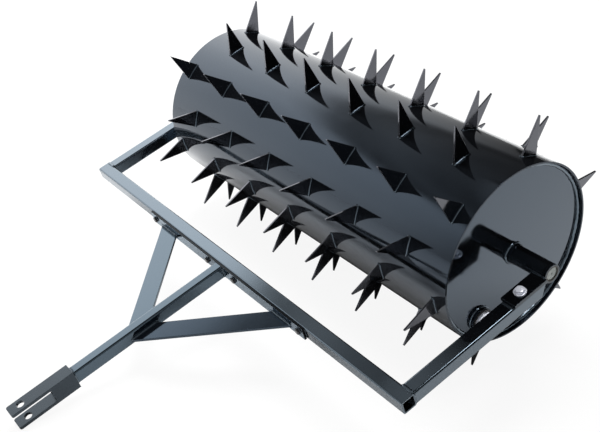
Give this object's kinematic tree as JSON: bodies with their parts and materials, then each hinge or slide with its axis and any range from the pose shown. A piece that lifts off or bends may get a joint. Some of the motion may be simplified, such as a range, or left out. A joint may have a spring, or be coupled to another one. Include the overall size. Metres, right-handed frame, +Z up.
{
  "type": "tow behind aerator",
  "caption": "Tow-behind lawn aerator: spiked steel roller drum on a through axle in a welded tube frame, with an A-frame drawbar and a two-tongue hitch clevis.",
  "frame": {"origin": "on the floor under the middle of the machine's bounding box", "axes": "+X along the axle to the right seen from the hitch, -Y forward to the hitch, +Z up"},
  "size_m": [0.917, 0.9258, 0.4167],
  "materials": {
    "frame_paint": "black powder coat, satin gloss",
    "drum_paint": "black gloss paint",
    "black_fastener": "black oxide",
    "zinc_plate": "bright zinc plate",
    "axle_steel": "bright drawn steel",
    "bronze": "sintered bronze",
    "rubber": "matt"
  },
  "bodies": {
    "frame": {"cross_tube": "frame_paint", "left_arm": "frame_paint", "right_arm": "frame_paint", "hitch_plate": "frame_paint", "drawbar": "frame_paint", "left_brace": "frame_paint", "right_brace": "frame_paint", "clevis": "frame_paint", "left_bearing_plate": "frame_paint", "right_bearing_plate": "frame_paint", "left_bearing_sleeve": "frame_paint", "right_bearing_sleeve": "frame_paint", "left_bush": "bronze", "right_bush": "bronze", "hitch_bolts": "black_fastener", "hitch_nuts": "black_fastener", "bearing_bolts": "zinc_plate", "bearing_washers": "zinc_plate", "bearing_nuts": "zinc_plate"},
    "drum": {"drum_shell": "drum_paint", "left_end_disc": "drum_paint", "right_end_disc": "drum_paint", "left_hub": "drum_paint", "right_hub": "drum_paint", "spike_row_01": "drum_paint", "spike_row_02": "drum_paint", "spike_row_03": "drum_paint", "spike_row_04": "drum_paint", "spike_row_05": "drum_paint", "spike_row_06": "drum_paint", "spike_row_07": "drum_paint", "spike_row_08": "drum_paint", "spike_row_09": "drum_paint", "spike_row_10": "drum_paint", "spike_row_11": "drum_paint", "spike_row_12": "drum_paint", "filler_socket": "drum_paint", "axle": "axle_steel"},
    "gasket": {"plug_gasket": "rubber"},
    "plug": {"filler_plug": "zinc_plate"}
  },
  "joints": [
    {"name": "drum_roll", "type": "hinge", "parent": "frame", "child": "drum", "pos_m": [0, 0.25451, 0.20835], "axis": [1, 0, 0], "continuous": true},
    {"name": "plug_travel", "type": "slide", "parent": "drum", "child": "gasket", "axis": [1, 0, 0], "range_m": [0, 0.01]},
    {"name": "plug_turn", "type": "hinge", "parent": "gasket", "child": "plug", "pos_m": [0.3855, 0.18744, 0.11432], "axis": [1, 0, 0], "range_deg": [0, 1800]}
  ],
  "couplings": [
    {"joint": "plug_turn", "follows": "plug_travel", "rad_per_m": 3141.6}
  ]
}
